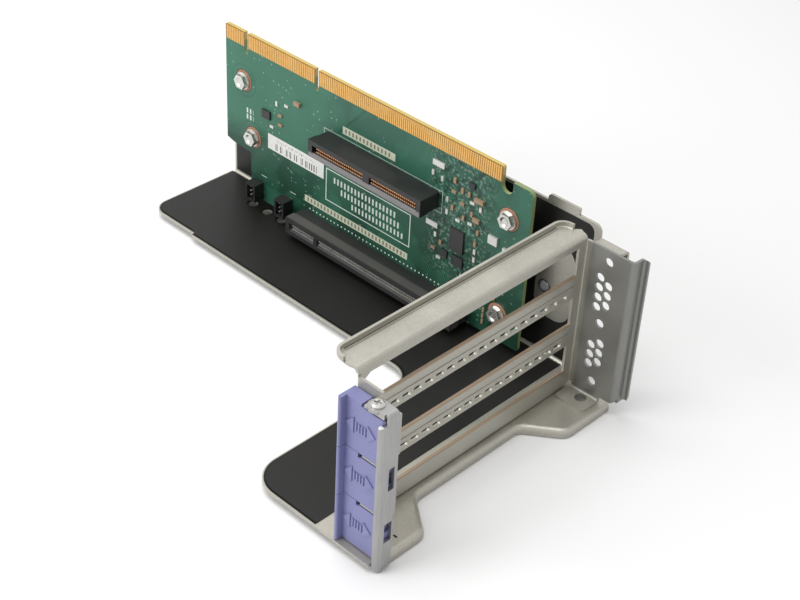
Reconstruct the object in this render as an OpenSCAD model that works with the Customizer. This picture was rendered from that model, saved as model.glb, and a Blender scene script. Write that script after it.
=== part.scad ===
// Riser cage bracket: folded cage, riser board, slot frame and card latches.
// Millimetres. +Z is up from the base plate, cards push in along +Y.
// Origin: underside of the base plate, below the outer face of the slot
// wall (x = 0) and the connector face of the riser board (y = 0).

/* [Sheet metal] */
// Thickness of every folded sheet
sheet_t = 1.0; // [0.8:0.1:1.2]
// Inside radius of the open folds
bend_in = 1.0; // [0.6:0.1:1.2]
// Inside radius of the tight corner folds
tight_in = 0.5; // [0.3:0.1:0.8]

/* [Base plate] */
// Left end of the base plate
base_left = -190; // [-194:0.5:-190]
// Front edge of the long strip
strip_front = -36.1; // [-38:0.1:-34]
// How far the strip steps back near its left end
strip_step = 1.4; // [0.4:0.1:3]
// Left edge of the wing in front of the board
wing_left = -41.5; // [-48:0.5:-36]
// Front edge of the wing
wing_front = -113.7; // [-118:0.1:-113.5]
// Corner radius of the strip
strip_r = 7; // [2:0.5:10]
// Corner radius of the wing
wing_r = 12; // [4:0.5:16]
// Radius in the inside corner between strip and wing
inside_r = 9; // [3:0.5:12]
// Diameter of the three holes in the strip
strip_hole_d = 4.0; // [3:0.1:4.4]
// Pitch of the three holes
strip_hole_pitch = 8.5; // [8:0.1:9]

/* [Wavy rim] */
// Outer face of the rim at its full width
rim_x = 16.4; // [16:0.1:16.8]
// Outer face of the rim where it dips toward the windows
rim_dip_x = 2.9; // [2.6:0.1:5]
// Depth of the rim below the top of the plate
rim_drop = 3.2; // [2.8:0.1:3.6]
// Plan radius of the rim corners
rim_r = 5; // [4:0.5:6]

/* [Support wall] */
// Front face of the wall behind the board
wall_front = 9.5; // [9:0.1:11]
// Height of the low part of the wall
wall_low = 56; // [50:0.5:60]
// Height of the high part of the wall
wall_high = 64.4; // [62:0.1:66]
// Height of the raised tab
wall_tab = 66.9; // [66:0.1:69]
// Top of the folded-over right end
wall_hook = 60.6; // [59:0.1:62]
// Diameter of the round hole in the wall
wall_hole_d = 5.6; // [4.6:0.1:6.4]
// Bore of the nut set in the wall
wall_nut_bore = 4.2; // [2:0.1:4.2]

/* [Slot frame] */
// Front end of the slot wall
slot_front = -106; // [-106.2:0.1:-105.6]
// Front end of the card windows
window_front = -103.5; // [-104:0.1:-102]
// Back end of the card windows
window_back = -2.6; // [-6:0.1:-2]
// Height of a card window
window_h = 11.25; // [10:0.05:12]
// Card pitch
card_pitch = 20.32; // [20.32]
// Bottom edge of the lowest window
window_z = 9.6; // [9:0.1:10.4]
// Top face of the rail
rail_top = 65.3; // [65:0.1:66.5]
// Width of the rail
rail_w = 11; // [10:0.5:13]
// Height of the raised lip above the rail
rail_lip = 1.8; // [1.2:0.1:4]
// Plan radius of the rail corners
rail_r = 4.5; // [4:0.5:7]
// Length of a slot in a bar
bar_slot_l = 3.9; // [2:0.1:4.2]
// Width of a slot in a bar
bar_slot_w = 2.0; // [1:0.1:2.4]
// Slots in a bar
bar_slots = 17; // [6:1:17]
// Pitch of the slots
bar_slot_pitch = 5.06; // [4.6:0.02:5.06]

/* [Side plate] */
// Width of the side plate
side_w = 20; // [18:0.5:22]
// Top of the side plate
side_top = 63.2; // [62:0.1:64]
// Bottom of the side plate
side_bottom = 3.7; // [3.5:0.1:5]
// Length of the hooked edge
side_hook = 6.1; // [5:0.1:8]
// Diameter of the small round holes
side_hole_d = 3.5; // [2.6:0.1:3.6]
// Depth of the foot tab
foot_l = 7.2; // [6:0.1:9]
// Diameter of the foot hole
foot_hole_d = 4.4; // [3.4:0.1:4.6]

/* [Card latches] */
// Spacing of the latches
latch_pitch = 19.2; // [19.2]
// Height of a latch
latch_h = 19.0; // [18.6:0.1:19]
// Depth of the latch body
latch_d = 4.8; // [4.4:0.1:4.8]
// Left end of the latch body
latch_left = -0.9; // [-3:0.1:-0.5]
// Depth of the finger ledge in front of the body
ledge_d = 2.6; // [1.5:0.1:4]
// Wall thickness of the latch shell
latch_skin = 1.2; // [1:0.1:1.4]
// Travel of a latch
latch_travel = 12; // [6:1:12]
// Gap between a latch and everything it slides past
latch_gap = 0.3; // [0.3:0.05:0.4]

/* [Latch post] */
// Plan radius of the curled front edge
post_r = 2.3; // [1.8:0.1:2.6]
// Front face of the curled edge
post_front = -112.6; // [-113:0.1:-112.5]
// Top of the curled edge
post_curl_top = 56.2; // [50:0.2:56.2]
// Bottom of the post below the base plate
post_drop = 2.3; // [1:0.1:2.6]
// Radius of the lobe round the screw
lobe_r = 3.2; // [3:0.1:3.4]
// Thread diameter of the latch screw
screw_d = 2.4; // [2:0.1:2.5]

/* [Riser board] */
// Board thickness
board_t = 1.6; // [1.2:0.1:2]
// Left end of the card edge
board_left = -182.5; // [-184:0.5:-182]
// Right end of the board
board_right = -23.4; // [-24:0.1:-22]
// Bottom edge of the board
board_bottom = 3.5; // [3:0.1:4]
// Top of the card edge
board_top = 75.2; // [74:0.1:77]
// Shoulder beside the card edge
board_shoulder = 70.9; // [69:0.1:72]
// Length of the gold fingers
finger_l = 6.2; // [5:0.1:6.5]
// Width of a gold finger
finger_w = 0.7; // [0.5:0.05:0.8]

/* [Card connectors] */
// Height of a connector housing
conn_h = 7.1; // [6.6:0.1:7.6]
// Depth of a connector housing
conn_d = 10; // [9:0.1:11]
// Centre height of the lower connector
lower_z = 7.75; // [7.6:0.05:8]
// Left end of the lower connector
lower_left = -136.5; // [-138:0.1:-136]
// Length of the lower connector
lower_l = 89; // [89:0.1:90]
// Left end of the upper connector
upper_left = -124.3; // [-126:0.1:-124]
// Length of the upper connector
upper_l = 58.6; // [58:0.1:60]
// Width of the card slot in a connector
conn_slot = 1.9; // [1.7:0.1:2.2]
// Height of the flared mouth of a card slot
conn_mouth = 3.4; // [2.6:0.1:4]

/* [Small parts] */
// Diameter of the board screw flange
screw_flange_d = 7.2; // [6.4:0.1:8]
// Hexagon size of the board screw
screw_hex = 5.5; // [5:0.1:6]
// Diameter of a standoff
standoff_d = 5.2; // [4.6:0.1:6]
// Film thickness
film_t = 0.25; // [0.2:0.05:0.3]
// Bare border round the film
film_border = 1.2; // [0.8:0.1:2]
// Depth of the cable headers
header_d = 5; // [4:0.1:7]

/* [Hidden] */
$fn = 48;
bend_out = bend_in + sheet_t;
join_thin = 0.02;
join_turn = 2;
tight_out = tight_in + sheet_t;
base_top = sheet_t;
wall_back = wall_front + sheet_t;
wall_left = base_left + 1.1;
wall_right = 11.2;
hook_front = 4.4;
hook_bottom = 57;
film_end = -3.4;
wall_end = -0.7;
wall_nut = [-21.6, 29.2];
plate_back = wall_back - bend_out;
rim_end = 4.5;
rim_front = -105.6;
rim_slope = (rim_x - rim_dip_x) * 0.75;
rim_path = [[rim_x, rim_front], [rim_x, -89.7], [rim_dip_x, -89.7 + rim_slope],
            [rim_dip_x, -18.7 - rim_slope], [rim_x, -18.7], [rim_x, rim_end]];
nose_x = rim_x - bend_out + 0.4;
foot_hole = [8.0, -1.7];
strip_holes = [-164.2, -2.3];
window_zs = [for (i = [0:2]) window_z + i * card_pitch];
side_back = 2.4;
side_front = side_back - sheet_t;
lip_in = 0.4;
bar_slot_up = 2.35;
side_holes = [[9.6, 58.7], [7.0, 51.4], [7.0, 47.4], [7.0, 43.3], [7.0, 39.3],
              [10.6, 49.4], [10.6, 45.4], [10.6, 41.4], [9.3, 33.4],
              [10.6, 25.4], [10.6, 21.4], [10.6, 17.4], [7.0, 23.2],
              [7.0, 19.2], [7.0, 15.2], [9.4, 8.5]];
shelf_back = slot_front + sheet_t;
shelf_low_x = 10.0;
shelf_right = 16;
latch_right = rim_x - latch_gap;
latch_back = slot_front - 0.2;
latch_face = latch_back - latch_d;
latch_zs = [for (i = [0:2]) 1.4 + i * latch_pitch];
latch_step = 1.2;
fin_t = 0.6;
fin_x = 7.6;
fin_front = latch_face + 0.2;
key_w = 2.2;
key_h = 2.6;
key_x = 12.9;
key_head = 0.9;
post_in = rim_x;
post_out = post_in + sheet_t;
screw_at = [11.2, -108.9];
screw_head_d = 4.4;
tab_bottom = 59;
tab_top = tab_bottom + sheet_t;
screws_at = [[-172, 54], [-166.6, 30.5], [-33, 55.8], [-34, 14.7]];
finger_z = board_top - finger_l;
notch_1 = -170.4;
notch_2 = -130.4;
notch_w = 2.0;
notch_z = 66.3;
card_edge_r = -37.5;
edge_notch_w = 5;
contact_pitch = 1.0;
contact_w = 0.6;
lower_first = lower_left + 3.8;
lower_key = lower_left + 17;
upper_z = lower_z + 2 * card_pitch;
upper_first = upper_left + 4.3;
upper_key = upper_left + 30.9;
upper_bridge = 3.4;
lower_bridge = 1.8;
// small parts: x, z, width, height, depth
buffer_at = [[-55.5, 36.0, 6.6, 9.4, 0.9]];
control_at = [[-54.6, 27.4, 5.2, 4.2, 0.8], [-50.2, 61.6, 2.6, 2.2, 0.8],
              [-61.2, 27.8, 3.2, 3.2, 0.8], [-158.5, 44.5, 4.6, 3.6, 0.8],
              [-44.6, 26.5, 3.0, 3.0, 0.7]];
caps_at = [[-46.4, 57.0, 4.2, 1.6, 1.2], [-58.4, 60.2, 1.2, 2.2, 0.7],
           [-54.6, 57.6, 1.2, 2.2, 0.7], [-58.6, 55.4, 2.0, 1.1, 0.6],
           [-51.4, 57.4, 1.1, 2.0, 0.6], [-54.4, 52.2, 2.0, 1.1, 0.6],
           [-49.6, 50.0, 1.1, 2.0, 0.6], [-58.8, 48.6, 1.2, 2.2, 0.7],
           [-53.4, 46.6, 1.1, 2.0, 0.6], [-47.2, 48.6, 3.0, 1.6, 1.0],
           [-46.2, 43.8, 1.1, 2.0, 0.6], [-47.0, 38.6, 1.1, 2.0, 0.6],
           [-40.4, 13.2, 1.0, 1.8, 0.6], [-40.4, 10.6, 1.0, 1.8, 0.6],
           [-40.4, 8.0, 1.0, 1.8, 0.6], [-63.4, 31.4, 1.1, 2.0, 0.6],
           [-66.8, 27.6, 2.0, 1.1, 0.6], [-150.4, 47.2, 2.0, 1.1, 0.6],
           [-150.4, 43.0, 2.0, 1.1, 0.6], [-140.5, 56.5, 3.2, 1.6, 1.2],
           [-36.6, 22.6, 2.0, 1.1, 0.6], [-36.6, 20.4, 2.0, 1.1, 0.6]];
res_at = [[-66.6, 63.3, 5.6, 2.2, 0.6], [-68.0, 37.6, 5.6, 2.2, 0.6],
          [-64.6, 58.0, 1.1, 2.0, 0.4], [-69.2, 58.8, 1.1, 2.0, 0.4],
          [-38.8, 44.4, 4.2, 3.4, 0.9], [-32.4, 42.2, 3.2, 3.2, 0.9],
          [-61.6, 50.8, 1.1, 2.0, 0.4], [-61.4, 45.6, 1.1, 2.0, 0.4],
          [-56.0, 44.4, 2.0, 1.1, 0.4], [-49.8, 54.6, 2.0, 1.1, 0.4],
          [-45.8, 53.6, 1.1, 2.0, 0.4], [-50.2, 45.6, 2.0, 1.1, 0.4],
          [-47.0, 35.2, 1.1, 2.0, 0.4], [-47.0, 31.8, 1.1, 2.0, 0.4],
          [-66.2, 33.6, 1.1, 2.0, 0.4], [-64.0, 24.6, 2.0, 1.1, 0.4],
          [-152.6, 51.6, 1.1, 2.0, 0.4], [-147.0, 52.8, 2.0, 1.1, 0.4],
          [-155.4, 40.2, 2.0, 1.1, 0.4], [-52.0, 22.0, 2.0, 1.1, 0.4]];

function unit(v) = v / norm(v);
function left_of(v) = [-v[1], v[0]];
function heading(p, i) = unit(p[i + 1] - p[i]);
function swing(p, i) = acos(heading(p, i - 1) * heading(p, i));
function side(p, i) = sign(cross(heading(p, i - 1), heading(p, i)));
function trim(p, i, r) = (i == 0 || i == len(p) - 1) ? 0 : r * tan(swing(p, i) / 2);
function inset(p, i, d) =
    let (a = left_of(heading(p, i - 1)), b = left_of(heading(p, i)))
    p[i] + (a + b) * d / (1 + a * b);

// Quarter of a ring: one fold seen end on, qx and qy pick the quarter
module fold_end(ri, ro, qx, qy) {
    intersection() {
        difference() {
            circle(r = ro);
            circle(r = ri);
        }
        translate([qx < 0 ? -ro : 0, qy < 0 ? -ro : 0]) square(ro);
    }
}

// Sheet edge seen end on: flat run to x = 0, fold of inside radius ri, then
// a leg below it
module edge_profile(ri, lead, leg, thin) {
    ro = ri + sheet_t;
    translate([-lead, thin - sheet_t]) square([lead, sheet_t - 2 * thin]);
    translate([0, -ro]) fold_end(ri + thin, ro - thin, 1, 1);
    translate([ri + thin, thin - ro - leg])
        square([sheet_t - 2 * thin, leg - thin]);
}

// A turned-down edge along a path, outside on the right of the path. The
// corners are a hair thinner and run a little way into the straight parts,
// so that all of them join as one solid.
module edge_path(p, r, ri, lead, leg) {
    ro = ri + sheet_t;
    for (i = [0:len(p) - 2]) {
        h = heading(p, i);
        a = p[i] + h * trim(p, i, r);
        run = norm(p[i + 1] - p[i]) - trim(p, i, r) - trim(p, i + 1, r);
        translate([a[0], a[1], 0])
            rotate([0, 0, atan2(h[1], h[0]) - 90])
                translate([-ro, 0, 0])
                    rotate([90, 0, 0])
                        mirror([0, 0, 1])
                            linear_extrude(run) edge_profile(ri, lead, leg, 0);
    }
    for (i = [1:len(p) - 2]) {
        s = side(p, i);
        h = heading(p, i - 1);
        a = p[i] - h * trim(p, i, r);
        c = a + left_of(h) * s * r;
        from = atan2(a[1] - c[1], a[0] - c[0]);
        first = s > 0 ? from : from - swing(p, i);
        translate([c[0], c[1], 0])
            rotate([0, 0, first - join_turn])
                rotate_extrude(angle = swing(p, i) + 2 * join_turn)
                    if (s > 0)
                        translate([r - ro, 0]) edge_profile(ri, lead, leg, join_thin);
                    else
                        translate([r + ro, 0])
                            mirror([1, 0]) edge_profile(ri, lead, leg, join_thin);
    }
}

// What a rounded corner takes off: q points from the corner into the sheet
module corner_off(at, qx, qy, r) {
    translate([at[0] + qx * r, at[1] + qy * r])
        difference() {
            translate([qx > 0 ? -r - 1 : 0, qy > 0 ? -r - 1 : 0]) square(r + 1);
            circle(r = r);
        }
}

// What fills a rounded inside corner: q points into the open side
module corner_fill(at, qx, qy, r) {
    difference() {
        translate([at[0] - (qx > 0 ? 0.5 : r), at[1] - (qy > 0 ? 0.5 : r)])
            square(r + 0.5);
        translate([at[0] + qx * r, at[1] + qy * r]) circle(r = r);
    }
}

// A rectangle with all four corners rounded, from low to high corner
module soft_rect(lo, hi, r) {
    difference() {
        translate(lo) square(hi - lo);
        corner_off(lo, 1, 1, r);
        corner_off([hi[0], lo[1]], -1, 1, r);
        corner_off([lo[0], hi[1]], 1, -1, r);
        corner_off(hi, -1, -1, r);
    }
}

// Stands an x-z outline up and gives it depth from y0 to y1
module upright(y0, y1) {
    translate([0, y1, 0]) rotate([90, 0, 0]) linear_extrude(y1 - y0) children();
}

// Turns a y-z outline to face along x, from x0 to x1
module sideways(x0, x1) {
    translate([x0, 0, 0]) rotate([90, 0, 90]) linear_extrude(x1 - x0) children();
}

// Row of holes along a board or bar
module hole_at(x, y, d) {
    translate([x, y]) circle(d = d);
}

module strip_hole_row(d) {
    for (i = [0:2])
        hole_at(strip_holes[0] + i * strip_hole_pitch, strip_holes[1], d);
}

module base_outline() {
    difference() {
        union() {
            polygon([
                [base_left, plate_back],
                [base_left, strip_front + strip_step],
                [-165.5, strip_front + strip_step],
                [-162, strip_front],
                [wing_left, strip_front],
                [wing_left, wing_front],
                [nose_x, wing_front],
                [nose_x, -110],
                [rim_x, -110],
                [rim_x, rim_front - 0.6],
                [rim_x - bend_out - 1, rim_front - 0.6],
                inset(rim_path, 1, bend_out + 1),
                inset(rim_path, 2, bend_out + 1),
                inset(rim_path, 3, bend_out + 1),
                inset(rim_path, 4, bend_out + 1),
                [rim_x - bend_out - 1, rim_end],
                [4, rim_end + 0.6],
                [wall_end, plate_back]
            ]);
            corner_fill([wing_left, strip_front], -1, -1, inside_r);
        }
        corner_off([base_left, strip_front + strip_step], 1, 1, strip_r);
        corner_off([wing_left, wing_front], 1, 1, wing_r);
        strip_hole_row(strip_hole_d);
        hole_at(foot_hole[0], foot_hole[1], foot_hole_d);
        translate([10.8, -98.8]) square([3.2, 0.8]);
    }
}

module wall_outline() {
    difference() {
        polygon([
            [wall_left, bend_out],
            [wall_left, wall_low],
            [-67, wall_low],
            [-60, wall_high],
            [-24.2, wall_high],
            [-24.2, wall_tab],
            [-10.4, wall_tab],
            [-10.4, wall_high],
            [wall_end, wall_high],
            [wall_end, wall_hook - bend_out],
            [wall_right, wall_hook - bend_out],
            [wall_right, hook_bottom],
            [wall_end, hook_bottom],
            [wall_end, bend_out]
        ]);
        corner_off([-24.2, wall_tab], 1, -1, 1.5);
        corner_off([wall_end, wall_high], -1, -1, 3);
        corner_off([wall_left, wall_low], 1, -1, 5);
        hole_at(wall_nut[0], wall_nut[1], wall_hole_d);
    }
}

module cage_body() {
    color([0.66, 0.65, 0.61]) {
        linear_extrude(sheet_t) base_outline();
        translate([0, 0, base_top])
            edge_path(rim_path, rim_r, bend_in, 2, rim_drop - bend_out);
        sideways(wall_left, wall_end)
            translate([plate_back, bend_out]) fold_end(bend_in, bend_out, 1, -1);
        upright(wall_front, wall_back) wall_outline();
        sideways(0.3, wall_right)
            translate([wall_back - bend_out, wall_hook - bend_out])
                fold_end(bend_in, bend_out, 1, 1);
        translate([0, 0, wall_hook - sheet_t])
            linear_extrude(sheet_t)
                difference() {
                    translate([0.3, hook_front])
                        square([wall_right - 0.3, wall_back - bend_out - hook_front]);
                    corner_off([wall_right, hook_front], -1, 1, 3);
                }
    }
}

module base_insulator() {
    color([0.12, 0.12, 0.11])
        translate([0, 0, base_top])
            linear_extrude(film_t)
                difference() {
                    union() {
                        polygon([
                            [base_left + film_border, plate_back - 0.4],
                            [base_left + film_border, strip_front + strip_step + film_border],
                            [-165.5, strip_front + strip_step + film_border],
                            [-162, strip_front + film_border],
                            [wing_left + film_border, strip_front + film_border],
                            [wing_left + film_border, wing_front + film_border],
                            [-9.4, wing_front + film_border],
                            [-9.4, plate_back - 0.4]
                        ]);
                        corner_fill([wing_left + film_border, strip_front + film_border],
                                    -1, -1, inside_r);
                    }
                    corner_off([base_left + film_border, strip_front + strip_step + film_border],
                               1, 1, strip_r - film_border);
                    corner_off([wing_left + film_border, wing_front + film_border],
                               1, 1, wing_r - film_border);
                    strip_hole_row(strip_hole_d + 1.6);
                }
}

module wall_insulator() {
    color([0.12, 0.12, 0.11])
        upright(wall_front - film_t, wall_front)
            difference() {
                polygon([
                    [wall_left + film_border, bend_out + 0.6],
                    [wall_left + film_border, wall_low - film_border],
                    [-66.4, wall_low - film_border],
                    [-59.4, wall_high - film_border],
                    [film_end, wall_high - film_border],
                    [film_end, bend_out + 0.6]
                ]);
                corner_off([wall_left + film_border, wall_low - film_border], 1, -1, 4);
                corner_off([film_end, wall_high - film_border], -1, -1, 3);
                soft_rect([-25.7, 17], [-9, 50], 7);
                for (p = screws_at) hole_at(p[0], p[1], standoff_d + 1);
            }
}

module wall_nut_insert() {
    color([0.66, 0.65, 0.61])
        translate([wall_nut[0], wall_front, wall_nut[1]])
            rotate([-90, 0, 0])
                difference() {
                    union() {
                        cylinder(d = wall_hole_d, h = sheet_t);
                        translate([0, 0, sheet_t]) cylinder(d = wall_hole_d + 2.4, h = 2.6);
                    }
                    translate([0, 0, -1]) cylinder(d = wall_nut_bore, h = sheet_t + 5);
                }
}

module bar_slot() {
    soft_rect([-bar_slot_l / 2, -bar_slot_w / 2], [bar_slot_l / 2, bar_slot_w / 2],
              bar_slot_w * 0.3, $fn = 16);
}

module slot_wall_outline() {
    difference() {
        translate([slot_front + tight_out, base_top + tight_out])
            square([side_front - tight_in - slot_front - tight_out,
                    rail_top - bend_out - base_top - tight_out]);
        for (z = window_zs)
            translate([window_front, z]) square([window_back - window_front, window_h]);
        for (b = [0:1])
            for (i = [0:bar_slots - 1])
                translate([-8.3 - i * bar_slot_pitch, window_zs[b] + window_h + bar_slot_up])
                    bar_slot();
    }
    polygon([
        [window_front, window_zs[2] + window_h],
        [window_front, window_zs[2] + window_h - 1.9],
        [window_front + 2.8, window_zs[2] + window_h]
    ]);
}

// The part of the slot wall above the windows
module rail_strip() {
    intersection() {
        slot_wall_outline();
        translate([slot_front, window_zs[2] + window_h])
            square([side_back - slot_front, rail_top]);
    }
}

// The two bars between the windows
module bar_strips() {
    intersection() {
        slot_wall_outline();
        for (b = [0:1])
            translate([window_front, window_zs[b] + window_h])
                square([window_back - window_front, card_pitch - window_h]);
    }
}

module rail() {
    z0 = rail_top - sheet_t;
    front = slot_front - 1;
    back = side_front - 0.6;
    lip_end = -rail_w + rail_r + 1;
    deep = lip_in + sheet_t + 1.6;
    lip_path = [[lip_end, front], [-rail_w, front], [-rail_w, back], [lip_end, back]];
    upright(slot_front, side_front)
        translate([-bend_out, rail_top - bend_out]) fold_end(bend_in, bend_out, 1, 1);
    translate([0, 0, z0]) {
        linear_extrude(sheet_t)
            polygon([
                [-bend_out, slot_front],
                [-bend_out, side_front],
                [-3.6, side_front + 0.8],
                [lip_end + 0.3, back - 0.2],
                [lip_end, back - 0.4],
                [lip_end, back - deep],
                [-rail_w + deep, back - deep],
                [-rail_w + deep, front + deep],
                [lip_end, front + deep],
                [lip_end, front + 0.6],
                [-bend_out - 1.5, front + 0.6]
            ]);
        mirror([0, 0, 1])
            mirror([0, 1, 0])
                edge_path([for (q = lip_path) [q[0], -q[1]]], rail_r, lip_in,
                          2, rail_lip - lip_in);
    }
}

// Raised ridge along each bar, above its slots
module bar_ridges() {
    for (b = [0:1])
        translate([-0.1, window_front + 0.5, window_zs[b] + window_h + 4.6])
            cube([0.35, window_back - window_front - 1, 0.7]);
}

module side_plan() {
    hook_c = side_back + bend_in;
    hook_end = side_front + side_hook;
    translate([tight_in, side_front]) square([side_w - bend_out - tight_in, sheet_t]);
    translate([side_w - bend_out, hook_c]) fold_end(bend_in, bend_out, 1, -1);
    translate([side_w - sheet_t, hook_c])
        square([sheet_t, hook_end - bend_out - hook_c]);
    translate([side_w + bend_in, hook_end - bend_out])
        fold_end(bend_in, bend_out, -1, 1);
    translate([side_w + bend_in, hook_end - sheet_t]) square([0.8, sheet_t]);
}

module side_plate() {
    difference() {
        translate([0, 0, side_bottom])
            linear_extrude(side_top - side_bottom) side_plan();
        upright(side_front - 1, side_back + 1)
            for (h = side_holes) hole_at(h[0], h[1], side_hole_d);
        upright(side_front - 1, side_back + 1)
            corner_off([side_w, side_bottom], -1, 1, 2.4);
        sideways(side_w - 1.5, side_w + 3)
            corner_off([side_front + side_hook, side_bottom], -1, 1, 2.5);
        sideways(side_w - 1.5, side_w + 3)
            corner_off([side_front + side_hook, side_top], -1, -1, 1.6);
    }
}

module foot_tab() {
    foot_z = base_top;
    fold_z = foot_z + bend_out;
    sideways(0.5 + 0.8, 13.3)
        translate([side_front - bend_in, fold_z]) fold_end(bend_in, bend_out, 1, -1);
    upright(side_front, side_back)
        translate([1.3, fold_z]) square([12, side_bottom - fold_z + 1]);
    translate([0, 0, foot_z])
        linear_extrude(sheet_t)
            difference() {
                translate([0.6, -foot_l])
                    square([12.7, foot_l + side_front - bend_in]);
                corner_off([0.6, -foot_l], 1, 1, 1.6);
                corner_off([13.3, -foot_l], -1, 1, 2);
                translate([0.5, -0.2]) square([0.8, 2]);
                hole_at(foot_hole[0], foot_hole[1], foot_hole_d);
            }
}

module shelf() {
    difference() {
        upright(slot_front, shelf_back)
            polygon([
                [tight_in, base_top],
                [shelf_right, base_top + 0.4],
                [shelf_right, 57.6],
                [shelf_low_x, 57.6],
                [shelf_low_x, 62.2],
                [tight_in, 62.2]
            ]);
        for (z = latch_zs)
            translate([key_x - latch_travel - latch_gap, slot_front - 1,
                       z + latch_h / 2 - key_h / 2 - latch_gap])
                cube([key_w + latch_travel + 2 * latch_gap, sheet_t + 2,
                      key_h + 2 * latch_gap]);
    }
    for (i = [1:2])
        translate([fin_x, fin_front, latch_zs[i] - 0.35 - fin_t])
            cube([shelf_right - fin_x, slot_front - fin_front + 0.1, fin_t]);
    translate([0, 0, tab_bottom - sheet_t])
        linear_extrude(sheet_t)
            difference() {
                translate([fin_x, fin_front])
                    square([shelf_right - 0.2 - fin_x, slot_front - fin_front + 0.1]);
                hole_at(screw_at[0], screw_at[1], screw_d + 0.1);
            }
    translate([fin_x, slot_front - 0.1, 57.5])
        cube([shelf_low_x - fin_x, sheet_t, tab_bottom - 57.5]);
}

module slot_rail() {
    color([0.62, 0.61, 0.57]) {
        sideways(-sheet_t, 0) rail_strip();
        rail();
    }
}

module slot_bars() {
    color([0.62, 0.61, 0.57]) {
        sideways(-sheet_t, 0) bar_strips();
        bar_ridges();
    }
}

module slot_frame() {
    color([0.62, 0.61, 0.57]) {
        sideways(-sheet_t, 0)
            difference() {
                slot_wall_outline();
                rail_strip();
                bar_strips();
            }
        upright(slot_front + tight_out, -0.4)
            translate([-tight_out, base_top + tight_out])
                fold_end(tight_in, tight_out, 1, -1);
        translate([-8, slot_front + tight_out, base_top])
            cube([8 - tight_out, -0.4 - slot_front - tight_out, sheet_t]);
        translate([0, 0, base_top + 0.4])
            linear_extrude(62.2 - base_top - 0.4)
                translate([tight_in, shelf_back + tight_in])
                    fold_end(tight_in, tight_out, -1, -1);
        shelf();
    }
}

module side_flange() {
    color([0.62, 0.61, 0.57]) {
        translate([0, 0, side_bottom])
            linear_extrude(side_top - side_bottom)
                translate([tight_in, side_front - tight_in])
                    fold_end(tight_in, tight_out, -1, 1);
        side_plate();
        foot_tab();
    }
}

module post_plan(edge) {
    translate([post_in, post_front + post_r])
        square([sheet_t, edge - post_front - post_r]);
    translate([post_out - post_r, post_front + post_r])
        fold_end(post_r - sheet_t, post_r, 1, -1);
}

module latch_bracket() {
    low = base_top - 1 - post_drop;
    face_top = tab_top - tight_out;
    color([0.60, 0.59, 0.55]) {
        difference() {
            union() {
                translate([0, 0, low])
                    linear_extrude(19.4 - low) post_plan(-106.3);
                translate([0, 0, 19.4])
                    linear_extrude(43.0 - 19.4) post_plan(-105.6);
                translate([0, 0, 43.0])
                    linear_extrude(post_curl_top - 43.0) post_plan(-105.0);
                translate([post_in, post_front + post_r, post_curl_top])
                    cube([sheet_t, -105.0 - post_front - post_r, face_top - post_curl_top]);
            }
            translate([post_in - 1, -109.3, 30.5]) cube([3, 2.4, 8.7]);
            translate([post_in - 1, -110, 9.5]) cube([3, 3.1, 7.7]);
            translate([post_in - 1, -110.4, low - 1]) cube([3, 6, 1 - low - 0.4]);
            translate([post_out + 0.12, post_front + 1.3, low - 1])
                cylinder(r = 0.4, h = post_curl_top - low + 2);
            sideways(post_in - 2, post_out + 1)
                corner_off([post_front, low], 1, 1, 1.6);
            sideways(post_in - 2, post_out + 1)
                corner_off([post_front, post_curl_top], 1, -1, 1.2);
        }
        upright(-110.2, -105.9)
            translate([post_out - tight_out, face_top])
                fold_end(tight_in, tight_out, 1, 1);
        translate([0, 0, tab_bottom])
            linear_extrude(sheet_t)
                difference() {
                    union() {
                        translate([screw_at[0], screw_at[1] - 2.5])
                            square([2.2, screw_at[1] * -1 - 105.9 + 2.5]);
                        translate([screw_at[0] + 2.1, -110.9])
                            square([post_out - tight_out - screw_at[0] - 2.1, 5.0]);
                        hole_at(screw_at[0], screw_at[1], 2 * lobe_r);
                    }
                    translate([screw_at[0] - 5, slot_front - 0.1]) square([4.4, 3]);
                    hole_at(screw_at[0], screw_at[1], screw_d + 0.3);
                }
    }
}

module latch_screw() {
    color([0.70, 0.69, 0.66])
        translate([screw_at[0], screw_at[1], 0]) {
            translate([0, 0, 55.9]) cylinder(d = screw_d, h = tab_top - 55.9 + 0.1);
            difference() {
                union() {
                    translate([0, 0, tab_top]) cylinder(d = screw_head_d, h = 0.6);
                    translate([0, 0, tab_top + 0.6])
                        cylinder(d1 = screw_head_d, d2 = screw_head_d - 1.2, h = 0.5);
                }
                for (a = [20, 110])
                    rotate([0, 0, a])
                        translate([-1.3, -0.35, tab_top + 0.3]) cube([2.6, 0.7, 2]);
            }
        }
}

module latch_front(notched) {
    difference() {
        translate([latch_left, 0]) square([latch_right - latch_left, latch_h]);
        translate([6.6, latch_h - latch_step]) square([latch_right, latch_step + 1]);
        if (notched)
            translate([6.0, latch_h - latch_step - 0.5]) square([1.2, 3]);
    }
}

module arrow_mark() {
    translate([0.8, 0]) polygon([[0, 0], [3.2, -3.0], [3.2, 3.0]]);
    translate([12.9, 0]) polygon([[0, 0], [-3.2, 3.0], [-3.2, -3.0]]);
    for (i = [0:3]) translate([4.6 + i * 1.25, -1.6]) square([0.7, 3.2]);
}

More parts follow.
